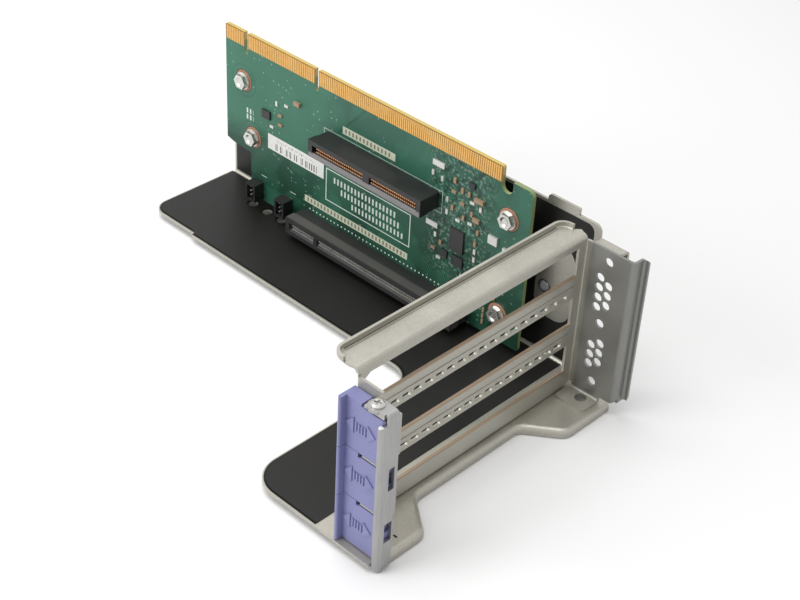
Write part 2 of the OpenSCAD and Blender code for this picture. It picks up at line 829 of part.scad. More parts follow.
// One latch with its lower edge at z
module latch(z, screw_pocket) {
    back = latch_back;
    shell_back = latch_face + latch_skin;
    color([0.52, 0.53, 0.80])
        translate([0, 0, z]) {
            difference() {
                upright(latch_face, back) latch_front(!screw_pocket);
                upright(shell_back, back + 1)
                    difference() {
                        translate([latch_left + latch_skin, latch_skin])
                            square([latch_right - latch_left,
                                    latch_h - latch_step - 0.9 - 2 * latch_skin]);
                        translate([key_x, 0]) square([key_w, latch_h]);
                        translate([4.4, 0]) square([latch_skin, latch_h]);
                        translate([0, latch_h / 2 - key_h / 2])
                            square([latch_right, key_h]);
                    }
                translate([0, 0, -1])
                    linear_extrude(latch_h + 2)
                        polygon([
                            [latch_right - 0.6, latch_face - 1],
                            [latch_right + 1, latch_face - 1],
                            [latch_right + 1, latch_face + 1.6],
                            [latch_right - 0.6, latch_face]
                        ]);
                if (screw_pocket)
                    translate([8.4, latch_face + 0.6, latch_h - 5.4])
                        cube([latch_right, latch_d, 6]);
            }
            translate([latch_left, latch_face - ledge_d + 0.7, 0])
                cube([1.4, ledge_d - 0.6, latch_h]);
            translate([latch_left + 0.7, latch_face - ledge_d + 0.7, 0])
                cylinder(r = 0.7, h = latch_h);
            upright(latch_face - 0.4, latch_face + 0.1)
                translate([0, latch_h / 2]) arrow_mark();
            translate([key_x, back - 0.1, latch_h / 2 - key_h / 2])
                cube([key_w, slot_key_reach(), key_h]);
            translate([key_x, shelf_back + latch_gap, latch_h / 2 - key_h / 2 - key_head])
                cube([key_w, 1, key_h + 2 * key_head]);
        }
}

function slot_key_reach() = shelf_back + latch_gap + 0.5 - latch_back;

module latch_bottom() {
    latch(latch_zs[0], false);
}

module latch_middle() {
    latch(latch_zs[1], false);
}

module latch_top() {
    latch(latch_zs[2], true);
}

module edge_notch(x, w, z) {
    translate([x - w / 2, z + w / 2]) square([w, board_top - z]);
    hole_at(x, z + w / 2, w);
}

module board_outline() {
    difference() {
        polygon([
            [board_left, board_top],
            [card_edge_r, board_top],
            [card_edge_r, board_shoulder],
            [board_right, board_shoulder],
            [board_right, board_bottom],
            [-168, board_bottom],
            [-168, 22.6],
            [-168.6, 22.9],
            [-178.8, 23.4],
            [board_left, 24.4]
        ]);
        edge_notch(notch_1, notch_w, notch_z);
        edge_notch(notch_2, notch_w, notch_z);
        edge_notch(card_edge_r + edge_notch_w / 2, edge_notch_w, 65.5);
        corner_off([board_right, board_shoulder], -1, -1, 2.4);
        corner_off([board_right, board_bottom], -1, 1, 1);
        corner_off([board_left, board_top], 1, -1, 0.8);
        corner_off([card_edge_r, board_top], -1, -1, 0.8);
        for (p = screws_at) hole_at(p[0], p[1], 3.4);
    }
}

module riser_board() {
    color([0.20, 0.42, 0.32]) upright(0, board_t) board_outline();
}

module finger_row(x0, x1) {
    n = floor((x1 - x0) / contact_pitch);
    for (i = [0:n - 1])
        translate([x0 + (i + 0.5) * (x1 - x0) / n - finger_w / 2, finger_z])
            square([finger_w, finger_l - 0.4]);
}

module finger_rows() {
    finger_row(board_left + 0.5, notch_1 - notch_w / 2 - 0.3);
    finger_row(notch_1 + notch_w / 2 + 0.3, notch_2 - notch_w / 2 - 0.3);
    finger_row(notch_2 + notch_w / 2 + 0.3, card_edge_r - 0.5);
}

module edge_contacts_front() {
    color([0.86, 0.70, 0.32]) upright(-0.06, 0) finger_rows();
}

module edge_contacts_rear() {
    color([0.86, 0.70, 0.32]) upright(board_t, board_t + 0.06) finger_rows();
}

// Mouth and channel of a card slot seen end on, y then z
module slot_end(depth) {
    polygon([
        [-conn_d - 1, -conn_mouth / 2],
        [-conn_d, -conn_mouth / 2],
        [-conn_d + 1.3, -conn_slot / 2],
        [-conn_d + depth, -conn_slot / 2],
        [-conn_d + depth, conn_slot / 2],
        [-conn_d + 1.3, conn_slot / 2],
        [-conn_d, conn_mouth / 2],
        [-conn_d - 1, conn_mouth / 2]
    ]);
}

// Housing with a card slot in two parts; bridge is the width between them
module housing(x0, l, zc, key, bridge) {
    lip = conn_d * 0.44;
    slot_d = conn_d * 0.75;
    difference() {
        union() {
            translate([x0 + 0.25, -conn_d + lip - 0.1, zc - conn_h / 2 + 0.25])
                cube([l - 0.5, conn_d - lip + 0.1, conn_h - 0.5]);
            translate([x0, -conn_d, zc - conn_h / 2]) cube([l, lip, conn_h]);
        }
        translate([0, 0, zc]) {
            sideways(x0 + 2.2, key - bridge / 2) slot_end(slot_d);
            sideways(key + bridge / 2, x0 + l - 2.0) slot_end(slot_d);
        }
    }
}

// Contact blades on both faces of a card slot
module blades(first, last, key, bridge, zc) {
    for (x = [first:contact_pitch:last])
        if (abs(x - key) > bridge / 2 + contact_w)
            for (s = [-1, 1])
                translate([x - contact_w / 2, -conn_d + 0.7,
                           zc + s * (conn_slot / 2 - 0.25) - 0.25])
                    cube([contact_w, conn_d * 0.75 - 1.0, 0.5]);
}

module lower_connector() {
    color([0.16, 0.16, 0.16]) housing(lower_left, lower_l, lower_z, lower_key, lower_bridge);
}

module lower_contacts() {
    color([0.72, 0.48, 0.30])
        blades(lower_first, lower_left + lower_l - 3.7, lower_key, lower_bridge, lower_z);
}

module upper_connector() {
    color([0.16, 0.16, 0.16]) housing(upper_left, upper_l, upper_z, upper_key, upper_bridge);
}

module upper_contacts() {
    color([0.72, 0.48, 0.30])
        blades(upper_first, upper_left + upper_l - 3.2, upper_key, upper_bridge, upper_z);
}

module header(x0) {
    color([0.10, 0.10, 0.10])
        difference() {
            translate([x0, -header_d, 4.2]) cube([5.4, header_d, 7.8]);
            translate([x0 + 0.8, -header_d - 1, 5.0])
                cube([3.8, header_d - 0.4, 6.2]);
        }
}

module left_header() {
    header(-165.9);
}

module right_header() {
    header(-148.7);
}

module header_pins() {
    color([0.78, 0.66, 0.36])
        for (x0 = [-165.9, -148.7])
            for (i = [0:1])
                for (k = [0:2])
                    translate([x0 + 1.7 + i * 2 - 0.25, -header_d + 1.2, 6.1 + k * 2 - 0.25])
                        cube([0.5, header_d - 2.6, 0.5]);
}

module board_screws() {
    color([0.72, 0.71, 0.68])
        for (p = screws_at)
            translate([p[0], 0, p[1]])
                rotate([90, 0, 0]) {
                    difference() {
                        union() {
                            cylinder(d = screw_flange_d, h = 0.7);
                            cylinder(d = screw_hex / cos(30), h = 2.6, $fn = 6);
                        }
                        translate([0, 0, 2.2]) cylinder(d1 = 2.4, d2 = 4.2, h = 0.5);
                    }
                    translate([0, 0, -5.5]) cylinder(d = 2.9, h = 5.6);
                }
}

module board_standoffs() {
    color([0.64, 0.63, 0.60])
        for (p = screws_at)
            translate([p[0], board_t, p[1]])
                rotate([-90, 0, 0])
                    difference() {
                        cylinder(d = standoff_d, h = wall_front - board_t);
                        translate([0, 0, -1]) cylinder(d = 3.0, h = 6.5);
                    }
}

// Parts standing on the connector face of the board
module board_parts(list) {
    for (p = list)
        translate([p[0] - p[2] / 2, -p[4], p[1] - p[3] / 2]) cube([p[2], p[4], p[3]]);
}

module buffer_chip() {
    color([0.14, 0.14, 0.14]) board_parts(buffer_at);
}

module control_chips() {
    color([0.15, 0.15, 0.15]) board_parts(control_at);
}

module chip_capacitors() {
    color([0.62, 0.52, 0.40]) board_parts(caps_at);
}

module chip_resistors() {
    color([0.74, 0.74, 0.72]) board_parts(res_at);
}

module blank_label() {
    color([0.92, 0.92, 0.90])
        translate([-157.7, -0.12, 29.7]) cube([32.1, 0.12, 6.7]);
}

cage_body();
base_insulator();
wall_insulator();
wall_nut_insert();  // wall_nut
slot_frame();
slot_rail();
slot_bars();
side_flange();
latch_bracket();
latch_screw();
latch_bottom();
latch_middle();
latch_top();
riser_board();
edge_contacts_front();
edge_contacts_rear();
lower_connector();
lower_contacts();
upper_connector();
upper_contacts();
left_header();
right_header();
header_pins();
board_screws();
board_standoffs();
buffer_chip();
control_chips();
chip_capacitors();
chip_resistors();
blank_label();
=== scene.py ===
import math
import bpy
from mathutils import Matrix, Vector


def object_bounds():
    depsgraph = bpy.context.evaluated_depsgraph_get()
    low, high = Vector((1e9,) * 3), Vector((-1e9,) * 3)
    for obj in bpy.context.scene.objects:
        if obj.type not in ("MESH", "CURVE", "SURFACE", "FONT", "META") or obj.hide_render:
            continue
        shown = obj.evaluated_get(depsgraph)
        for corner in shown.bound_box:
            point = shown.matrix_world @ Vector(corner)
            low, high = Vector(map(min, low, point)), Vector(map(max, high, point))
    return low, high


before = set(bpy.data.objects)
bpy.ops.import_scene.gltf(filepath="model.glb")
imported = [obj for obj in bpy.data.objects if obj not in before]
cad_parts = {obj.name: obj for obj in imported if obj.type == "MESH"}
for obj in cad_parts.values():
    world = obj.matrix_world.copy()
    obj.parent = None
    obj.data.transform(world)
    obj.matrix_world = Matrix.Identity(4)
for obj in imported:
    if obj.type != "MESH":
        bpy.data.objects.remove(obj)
cad_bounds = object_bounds()

# Places and lengths are in millimetres of the part's own frame: X along the
# board, Y from the latches toward the support wall and Z up. Colours are
# linear. Shaders read Object coordinates, which are in metres.
MM = 0.001


def span(name, axis):
    """The lowest and the highest place of a node along an axis."""
    index = "XYZ".index(axis)
    places = [vertex.co[index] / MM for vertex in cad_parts[name].data.vertices]
    return min(places), max(places)


# ---------------------------------------------------------------- node helpers
def math_node(tree, op, a, b=None):
    """One maths node; a and b are sockets or numbers."""
    node = tree.nodes.new("ShaderNodeMath")
    node.operation = op
    for i, value in enumerate((a, b)):
        if value is None:
            continue
        if isinstance(value, (int, float)):
            node.inputs[i].default_value = value
        else:
            tree.links.new(value, node.inputs[i])
    return node.outputs[0]


def times(tree, first, *rest):
    """Product of masks, or of a mask and numbers: where all of them hold."""
    for other in rest:
        first = math_node(tree, "MULTIPLY", first, other)
    return first


def either(tree, first, *rest):
    """Greatest of masks: where one of them holds."""
    for other in rest:
        first = math_node(tree, "MAXIMUM", first, other)
    return first


def above(tree, place, limit):
    """1 where a place is past the limit, else 0."""
    return math_node(tree, "GREATER_THAN", place, limit * MM)


def below(tree, place, limit):
    """1 where a place is short of the limit, else 0."""
    return math_node(tree, "LESS_THAN", place, limit * MM)


def ramp(tree, value, low, high, out_low=0.0, out_high=1.0):
    """Value mapped from low..high to out_low..out_high, held at the ends."""
    node = tree.nodes.new("ShaderNodeMapRange")
    node.clamp = True
    tree.links.new(value, node.inputs["Value"])
    node.inputs["From Min"].default_value = low
    node.inputs["From Max"].default_value = high
    node.inputs["To Min"].default_value = out_low
    node.inputs["To Max"].default_value = out_high
    return node.outputs["Result"]


def rise(tree, place, low, high):
    """0 up to the place low, growing to 1 at the place high."""
    return ramp(tree, place, low * MM, high * MM)


def fall(tree, place, low, high):
    """1 up to the place low, shrinking to 0 at the place high."""
    return ramp(tree, place, low * MM, high * MM, 1.0, 0.0)


# Sockets of a Mix node that blends colours
MIX_FACTOR, MIX_A, MIX_B, MIX_RESULT = 0, 6, 7, 2


def mix_colour(tree, factor, a, b):
    """Colour a turning into colour b as factor goes from 0 to 1."""
    node = tree.nodes.new("ShaderNodeMix")
    node.data_type = "RGBA"
    tree.links.new(factor, node.inputs[MIX_FACTOR])
    for key, value in ((MIX_A, a), (MIX_B, b)):
        if isinstance(value, tuple):
            node.inputs[key].default_value = (*value, 1.0)
        else:
            tree.links.new(value, node.inputs[key])
    return node.outputs[MIX_RESULT]


def lay(tree, under, mask, colour, amount=1.0):
    """A colour laid over another where the mask is 1; amount 1 hides it."""
    if amount < 1.0:
        mask = times(tree, mask, amount)
    return mix_colour(tree, mask, under, colour)


def object_xyz(tree):
    """Object coordinates whole, and split into X, Y and Z."""
    place = tree.nodes.new("ShaderNodeTexCoord").outputs["Object"]
    split = tree.nodes.new("ShaderNodeSeparateXYZ")
    tree.links.new(place, split.inputs[0])
    return place, split.outputs


NOISE_ROUGHNESS = 0.55


def noise(tree, scale, detail, stretch=(1.0, 1.0, 1.0)):
    """Noise over object coordinates, squeezed along each axis by stretch."""
    place = tree.nodes.new("ShaderNodeTexCoord").outputs["Object"]
    mapping = tree.nodes.new("ShaderNodeMapping")
    mapping.inputs["Scale"].default_value = stretch
    texture = tree.nodes.new("ShaderNodeTexNoise")
    texture.inputs["Scale"].default_value = scale
    texture.inputs["Detail"].default_value = detail
    texture.inputs["Roughness"].default_value = NOISE_ROUGHNESS
    tree.links.new(place, mapping.inputs[0])
    tree.links.new(mapping.outputs[0], texture.inputs["Vector"])
    return texture.outputs["Fac"]


def bump(tree, height, strength, distance):
    """Bump from a height to the surface's normal; distance is in metres."""
    node = tree.nodes.new("ShaderNodeBump")
    node.inputs["Strength"].default_value = strength
    node.inputs["Distance"].default_value = distance
    tree.links.new(height, node.inputs["Height"])
    tree.links.new(node.outputs["Normal"], tree.nodes["Principled BSDF"].inputs["Normal"])


# ----------------------------------------------------------------- node groups
def group(name, inputs, outputs):
    """A new shader node group with its ends. Inputs give a name, a socket
    type and a value, and outputs are float sockets."""
    tree = bpy.data.node_groups.new(name, "ShaderNodeTree")
    for key, kind, value in inputs:
        socket = tree.interface.new_socket(name=key, in_out="INPUT", socket_type=kind)
        socket.default_value = value
    for key in outputs:
        tree.interface.new_socket(name=key, in_out="OUTPUT", socket_type="NodeSocketFloat")
    return tree, tree.nodes.new("NodeGroupInput").outputs, tree.nodes.new("NodeGroupOutput").inputs


def grain_group():
    """Surface grain: a fine noise that can be stretched and a broad one as
    masks, and a height of 0.4 times the fine one."""
    tree, given, result = group(
        "surface grain",
        [("Fine Scale", "NodeSocketFloat", 900.0), ("Broad Scale", "NodeSocketFloat", 40.0),
         ("Stretch", "NodeSocketVector", (1.0, 1.0, 1.0))],
        ["Fine", "Broad", "Height"])
    place = tree.nodes.new("ShaderNodeTexCoord").outputs["Object"]
    stretched = tree.nodes.new("ShaderNodeVectorMath")
    stretched.operation = "MULTIPLY"
    tree.links.new(place, stretched.inputs[0])
    tree.links.new(given["Stretch"], stretched.inputs[1])
    for key, detail, source in (("Fine", 2.0, stretched.outputs[0]), ("Broad", 4.0, place)):
        texture = tree.nodes.new("ShaderNodeTexNoise")
        texture.inputs["Detail"].default_value = detail
        tree.links.new(given[key + " Scale"], texture.inputs["Scale"])
        tree.links.new(source, texture.inputs["Vector"])
        tree.links.new(texture.outputs["Fac"], result[key])
        if key == "Fine":
            tree.links.new(math_node(tree, "MULTIPLY", texture.outputs["Fac"], 0.4),
                           result["Height"])
    return tree


def rectangle_group():
    """Rectangle mask: 1 where U and V lie between their limits, else 0."""
    keys = ("U", "V", "U Low", "U High", "V Low", "V High")
    tree, given, result = group(
        "rectangle mask", [(key, "NodeSocketFloat", 0.0) for key in keys], ["Inside"])
    sides = []
    for key in ("U", "V"):
        sides.append(math_node(tree, "GREATER_THAN", given[key], given[key + " Low"]))
        sides.append(math_node(tree, "LESS_THAN", given[key], given[key + " High"]))
    tree.links.new(times(tree, *sides), result["Inside"])
    return tree


grain = grain_group()
rectangle = rectangle_group()


# ----------------------------------------------------------------------- masks
def patch(tree, u, v, u_low, u_high, v_low, v_high):
    """Mask of a rectangle."""
    node = tree.nodes.new("ShaderNodeGroup")
    node.node_tree = rectangle
    tree.links.new(u, node.inputs["U"])
    tree.links.new(v, node.inputs["V"])
    for key, value in (("U Low", u_low), ("U High", u_high), ("V Low", v_low), ("V High", v_high)):
        node.inputs[key].default_value = value * MM
    return node.outputs["Inside"]


def outline(tree, u, v, limits, line):
    """Mask of a rectangle's line: the outer rectangle less the inner one."""
    u_low, u_high, v_low, v_high = limits
    inner = patch(tree, u, v, u_low + line, u_high - line, v_low + line, v_high - line)
    return math_node(tree, "SUBTRACT", patch(tree, u, v, *limits), inner)


def length(tree, du, dv):
    """Length of a step: the root of the sum of its squares."""
    return math_node(tree, "SQRT", math_node(
        tree, "ADD", math_node(tree, "MULTIPLY", du, du), math_node(tree, "MULTIPLY", dv, dv)))


def away(tree, u, v, centre):
    """Distance from a centre."""
    return length(tree, math_node(tree, "SUBTRACT", u, centre[0] * MM),
                  math_node(tree, "SUBTRACT", v, centre[1] * MM))


def ring(tree, u, v, centre, inner, outer):
    """Mask of a ring: the distance from its centre between two radii."""
    distance = away(tree, u, v, centre)
    return times(tree, below(tree, distance, outer), above(tree, distance, inner))


def repeat(tree, u, first, pitch):
    """Distance along u from the last of the places first, first + pitch and
    so on."""
    wrapped = math_node(tree, "WRAP", math_node(tree, "SUBTRACT", u, first * MM), pitch * MM)
    wrapped.node.inputs[2].default_value = 0.0
    return wrapped


def dots(tree, u, v, first, last, pitch, height, radius):
    """Mask of a row of dots: the distance from the nearest place of the row
    is less than the radius."""
    start = first - pitch / 2
    du = math_node(tree, "SUBTRACT", repeat(tree, u, start, pitch), pitch / 2 * MM)
    dv = math_node(tree, "SUBTRACT", v, height * MM)
    row = patch(tree, u, v, start, last + pitch / 2, height - radius, height + radius)
    return times(tree, below(tree, length(tree, du, dv), radius), row)


DASH_PITCH = 1.9
DASH_FILL = 0.45


def dashes(tree, u, v, limits):
    """Mask of a row of upright strokes in a rectangle, one each pitch."""
    stroke = below(tree, repeat(tree, u, limits[0], DASH_PITCH), DASH_FILL * DASH_PITCH)
    return times(tree, stroke, patch(tree, u, v, *limits))


def round_patch(tree, u, v, limits, radius):
    """Mask of a rounded rectangle: the distance past the inner rectangle,
    which is smaller by the radius all round, is less than the radius."""
    squares = []
    for place, low, high in ((u, *limits[:2]), (v, *limits[2:])):
        off = math_node(tree, "ABSOLUTE",
                        math_node(tree, "SUBTRACT", place, (low + high) / 2 * MM))
        past = math_node(tree, "SUBTRACT", off, ((high - low) / 2 - radius) * MM)
        past = math_node(tree, "MAXIMUM", past, 0.0)
        squares.append(math_node(tree, "MULTIPLY", past, past))
    return math_node(tree, "LESS_THAN", math_node(tree, "ADD", *squares), (radius * MM) ** 2)


def box(**limits):
    """A maker of a box's mask from the limits of X, Y and Z, where None
    leaves a side open."""
    def make(tree, xyz):
        """The mask: past each low limit and short of each high one."""
        tests = []
        for axis, (low, high) in limits.items():
            if low is not None:
                tests.append(above(tree, xyz[axis], low))
            if high is not None:
                tests.append(below(tree, xyz[axis], high))
        return times(tree, *tests)
    return make


# ------------------------------------------------------------ grained materials
def tint(mat, make, colour):
    """Lay a colour over a material's base colour where make's mask is 1."""
    tree = mat.node_tree
    base = tree.nodes["Principled BSDF"].inputs["Base Color"]
    under = base.links[0].from_socket
    tree.links.new(lay(tree, under, make(tree, object_xyz(tree)[1]), colour), base)


def material(name, pale, dark, rough, metallic=0.0, fine=900.0, broad=40.0,
             stretch=(1.0, 1.0, 1.0), relief=0.0):
    """A grained material: its two colours mix by the mean of the broad and
    the fine grain, and the broad one moves roughness between two values."""
    mat = bpy.data.materials.new(name)
    mat.use_nodes = True
    tree = mat.node_tree
    shader = tree.nodes["Principled BSDF"]
    node = tree.nodes.new("ShaderNodeGroup")
    node.node_tree = grain
    node.inputs["Fine Scale"].default_value = fine
    node.inputs["Broad Scale"].default_value = broad
    node.inputs["Stretch"].default_value = stretch
    mean = math_node(tree, "ADD", math_node(tree, "MULTIPLY", node.outputs["Fine"], 0.5),
                     math_node(tree, "MULTIPLY", node.outputs["Broad"], 0.5))
    tree.links.new(mix_colour(tree, ramp(tree, mean, 0.3, 0.7), dark, pale),
                   shader.inputs["Base Color"])
    tree.links.new(ramp(tree, node.outputs["Broad"], 0.3, 0.7, *rough),
                   shader.inputs["Roughness"])
    shader.inputs["Metallic"].default_value = metallic
    if relief:
        bump(tree, node.outputs["Height"], relief, 0.0001)
    return mat


# Zinc-plated sheet, turned parts and pins
PLATED = dict(metallic=0.62, fine=1400, broad=60)
steel = material("cage steel", (0.50, 0.48, 0.42), (0.39, 0.375, 0.33), (0.34, 0.48),
                 relief=0.12, **PLATED)
frame_steel = material("frame steel", (0.49, 0.475, 0.41), (0.38, 0.37, 0.325), (0.33, 0.47),
                       relief=0.12, **PLATED)
post_steel = material("post steel", (0.42, 0.42, 0.41), (0.33, 0.33, 0.33), (0.30, 0.42),
                      stretch=(1.0, 1.0, 0.08), relief=0.10, **PLATED)
# The wall nut's steel is painted dark: painted shade standing in for the inside of its hole
nut_steel_as_hole_shade = material("nut steel", (0.20, 0.20, 0.195), (0.12, 0.12, 0.12), (0.30, 0.42),
                     metallic=0.6, fine=1500, broad=150)
screw_steel = material("screw steel", (0.72, 0.71, 0.68), (0.50, 0.49, 0.46), (0.20, 0.34),
                       metallic=0.9, fine=1500, broad=150)
pin_steel = material("bright pins", (0.80, 0.78, 0.72), (0.55, 0.54, 0.50), (0.25, 0.40),
                     metallic=0.5, fine=1500, broad=200)
gold = material("contact gold", (0.86, 0.52, 0.17), (0.66, 0.35, 0.10), (0.22, 0.36),
                metallic=0.8, fine=700, broad=120)
copper = material("contact copper", (0.80, 0.46, 0.26), (0.55, 0.30, 0.16), (0.28, 0.42),
                  metallic=0.8, fine=700, broad=120)

# Film and plastics
film = material("black film", (0.0120, 0.0112, 0.0102), (0.006, 0.006, 0.0058), (0.40, 0.52),
                fine=2600, broad=25, relief=0.10)
film.node_tree.nodes["Principled BSDF"].inputs["Specular IOR Level"].default_value = 0.32
blue = material("latch blue", (0.235, 0.240, 0.450), (0.190, 0.195, 0.385), (0.38, 0.50),
                fine=1800, broad=60, relief=0.08)
upper_black = material("upper slot black", (0.019, 0.019, 0.019), (0.010, 0.010, 0.010),
                       (0.36, 0.50), fine=1500, broad=80, relief=0.08)
lower_black = material("lower slot black", (0.030, 0.030, 0.030), (0.017, 0.017, 0.017),
                       (0.36, 0.50), fine=1500, broad=80, relief=0.08)

# Small parts on the board, and the label
chip = material("chip black", (0.030, 0.030, 0.032), (0.017, 0.017, 0.018), (0.42, 0.58),
                fine=3000, broad=200, relief=0.15)
tan = material("capacitor tan", (0.40, 0.28, 0.17), (0.27, 0.18, 0.11), (0.40, 0.55),
               fine=1500, broad=200)
tinned = material("tinned ends", (0.74, 0.73, 0.70), (0.58, 0.57, 0.54), (0.28, 0.45),
                  metallic=0.4, fine=1500, broad=200)
white = material("label white", (0.78, 0.78, 0.75), (0.68, 0.68, 0.66), (0.50, 0.62),
                 fine=1200, broad=60)


# ---------------------------------------------------- tints on single surfaces
PLATE_LEFT = cad_bounds[0][0] / MM
PLATE_FRONT = cad_bounds[0][1] / MM
PLATE_TOP = 1.0
STRIP_FRONT = -36.1
STRIP_STEP = 1.4
STRIP_STEP_X = -163.5
STRIP_R = 7.0
WING_LEFT = -41.5
WING_R = 12.0
INSIDE_R = 9.0
BARE_RIM = 0.5
WALL_FOLD = 8.6
WELL_PAST = 20.0


def film_reach(tree, xyz):
    """How far the base film's black reaches on the plate's top face: up to
    the bare rim, as the strip with its step, the wing, and the fillet in the
    inside corner, which is what lies outside its circle."""
    u, v = xyz["X"], xyz["Y"]
    film_end = span("base_insulator", "X")[1]
    left, front = PLATE_LEFT + BARE_RIM, STRIP_FRONT + BARE_RIM
    strip = round_patch(tree, u, v, (left, WELL_PAST, front + STRIP_STEP, WELL_PAST),
                        STRIP_R - BARE_RIM)
    stepped = patch(tree, u, v, STRIP_STEP_X, film_end, front, WELL_PAST)
    wing = round_patch(tree, u, v, (WING_LEFT + BARE_RIM, WELL_PAST, PLATE_FRONT + BARE_RIM, 0.0),
                       WING_R - BARE_RIM)
    centre = (WING_LEFT - INSIDE_R, STRIP_FRONT - INSIDE_R)
    corner = patch(tree, u, v, centre[0], WING_LEFT + BARE_RIM, centre[1], front)
    fillet = times(tree, corner, above(tree, away(tree, u, v, centre), INSIDE_R + BARE_RIM))
    top_face = box(X=(None, film_end), Y=(None, WALL_FOLD),
                   Z=(PLATE_TOP - 0.07, PLATE_TOP + 0.05))
    return times(tree, either(tree, strip, stepped, wing, fillet), top_face(tree, xyz))


def side_plate_shade(tree, xyz):
    """Painted shade on the side plate: past the frame's outer face, growing over its fold."""
    return times(tree, rise(tree, xyz["X"], 1.2, 2.4), above(tree, xyz["Y"], 1.1))


def lit_front_band(tree, xyz):
    """The outer half of the long slot's body, up to the plane in which its
    contacts end, where a paler grey is painted on as painted light."""
    return times(tree, fall(tree, xyz["Y"], -5.0, -4.6), above(tree, xyz["Y"], -9.3))


tint(steel, film_reach, (0.0110, 0.0102, 0.0094))

# The frame's outer face: a painted warm highlight along the windows' lower
# edges, painted shade on the side plate, and two dark lines of painted shade along the fold of the
# rail's lip
SILL_HIGHLIGHT_BANDS = ((9.0, 9.7), (29.3, 30.1), (49.6, 50.4))
for sill in SILL_HIGHLIGHT_BANDS:
    tint(frame_steel, box(X=(-1.2, 0.3), Y=(None, -2.6), Z=sill), (0.36, 0.27, 0.19))
# Painted shade: the side plate darkened where it faces away from the light
tint(frame_steel, side_plate_shade, (0.25, 0.25, 0.235))
RAIL_TOP = 64.9
RAIL_LENGTH = (-102.5, -3.6)
# Painted shade: two dark lines in the crease along the fold of the rail's lip
tint(frame_steel, box(X=(-9.95, -9.65), Y=RAIL_LENGTH, Z=(RAIL_TOP, None)), (0.09, 0.085, 0.075))
tint(frame_steel, box(X=(-9.0, -8.75), Y=RAIL_LENGTH, Z=(RAIL_TOP, None)), (0.16, 0.15, 0.13))

# Painted light: a greyer front half of the long slot. And a grey strip low on the short slot's
# front face
tint(lower_black, lit_front_band, (0.085, 0.080, 0.076))
tint(upper_black, box(X=(-124.0, -66.0), Y=(None, -9.0), Z=(44.0, 46.9)), (0.20, 0.19, 0.195))


def printed(scale, stretch, level, where):
    """A maker of a mask: in one place, where a noise is past a level."""
    def make(tree, xyz):
        """The mask: the noise's test times the place's own mask."""
        shown = math_node(tree, "GREATER_THAN", noise(tree, scale, 0.0, stretch), level)
        return times(tree, shown, where(tree, xyz))
    return make


# The label's stripes, which change along X only, and a row of specks above
label_left, label_right = span("blank_label", "X")
label_low = span("blank_label", "Z")[0]
stripe_place = box(X=(label_left + 4.2, label_right - 3.9), Z=(label_low + 0.7, label_low + 3.7))
speck_place = box(X=(label_left + 4.2, label_right - 5.9), Z=(label_low + 4.5, label_low + 5.6))
tint(white, printed(1500.0, (1.0, 0.0, 0.0), 0.52, stripe_place), (0.10, 0.10, 0.10))
tint(white, printed(1900.0, (1.0, 1.0, 1.0), 0.58, speck_place), (0.25, 0.25, 0.25))


# ------------------------------------------------------------------- the board
# Rectangles are given as X low, X high, Z low and Z high
LEFT_SCREWS = ((-172, 54), (-166.6, 30.5))
RIGHT_SCREWS = ((-33, 55.8), (-34, 14.7))
LEGEND = (0.62, 0.70, 0.62)
LEGEND_FRAMES = (((-124.4, -78.9, 21.0, 35.6), 0.45), ((-126.0, -64.0, 43.3, 52.6), 0.22))
LEGEND_DASHES = ((-120.0, -86.0, 30.4, 33.0), (-116.0, -84.0, 26.6, 29.2),
                 (-110.0, -82.0, 23.0, 25.4), (-170.5, -166.5, 37.6, 39.8),
                 (-170.5, -166.5, 40.4, 42.6))
LEGEND_LINES = ((-161.8, -158.6, 15.0, 15.3), (-144.6, -141.4, 15.0, 15.3))
PALE_STRIPS = ((-115.9, -88.3, 54.2, 57.4), (-136.1, -79.6, 15.0, 18.0))
STRIP_DASHES = ((-114.6, -90.0, 54.9, 56.7), (-134.6, -81.0, 15.6, 17.4))
# Each bundle of tracks: its turn about Y, the scale of its lines, the scale
# of the noise that lets them through and the level where it does
TRACK_BUNDLES = ((0.62, 300.0, 30.0, 0.52), (-0.25, 420.0, 47.0, 0.55), (1.57, 380.0, 61.0, 0.57))


def solder_mask(tree, x, z):
    """The green: paler toward the card edge and darker near the base, fresher
    where a broad noise rises, and bright in the upper left part."""
    colour = mix_colour(tree, rise(tree, z, 10, 58), (0.004, 0.036, 0.018), (0.026, 0.105, 0.070))
    fresh = ramp(tree, noise(tree, 22.0, 2.0), 0.42, 0.70, 0.0, 0.45)
    colour = lay(tree, colour, fresh, (0.012, 0.085, 0.050))
    bright = times(tree, fall(tree, x, -130, -112), rise(tree, z, 30, 37))
    return lay(tree, colour, bright, (0.046, 0.190, 0.120), 0.55)


def seams(tree, colour, x, z):
    """A dark line that leans 0.9 along X for each 1 up, where X less 0.9 Z
    is near one value, and a thin halo round each left screw."""
    lean = math_node(tree, "ADD", x, math_node(tree, "MULTIPLY", z, -0.9))
    off = math_node(tree, "ABSOLUTE", math_node(tree, "SUBTRACT", lean, -166.2 * MM))
    line = times(tree, above(tree, z, 34.5), below(tree, off, 0.6))
    colour = lay(tree, colour, line, (0.006, 0.040, 0.024), 0.6)
    for centre in LEFT_SCREWS:
        colour = lay(tree, colour, ring(tree, x, z, centre, 6.4, 7.2), (0.008, 0.050, 0.030), 0.35)
    return colour


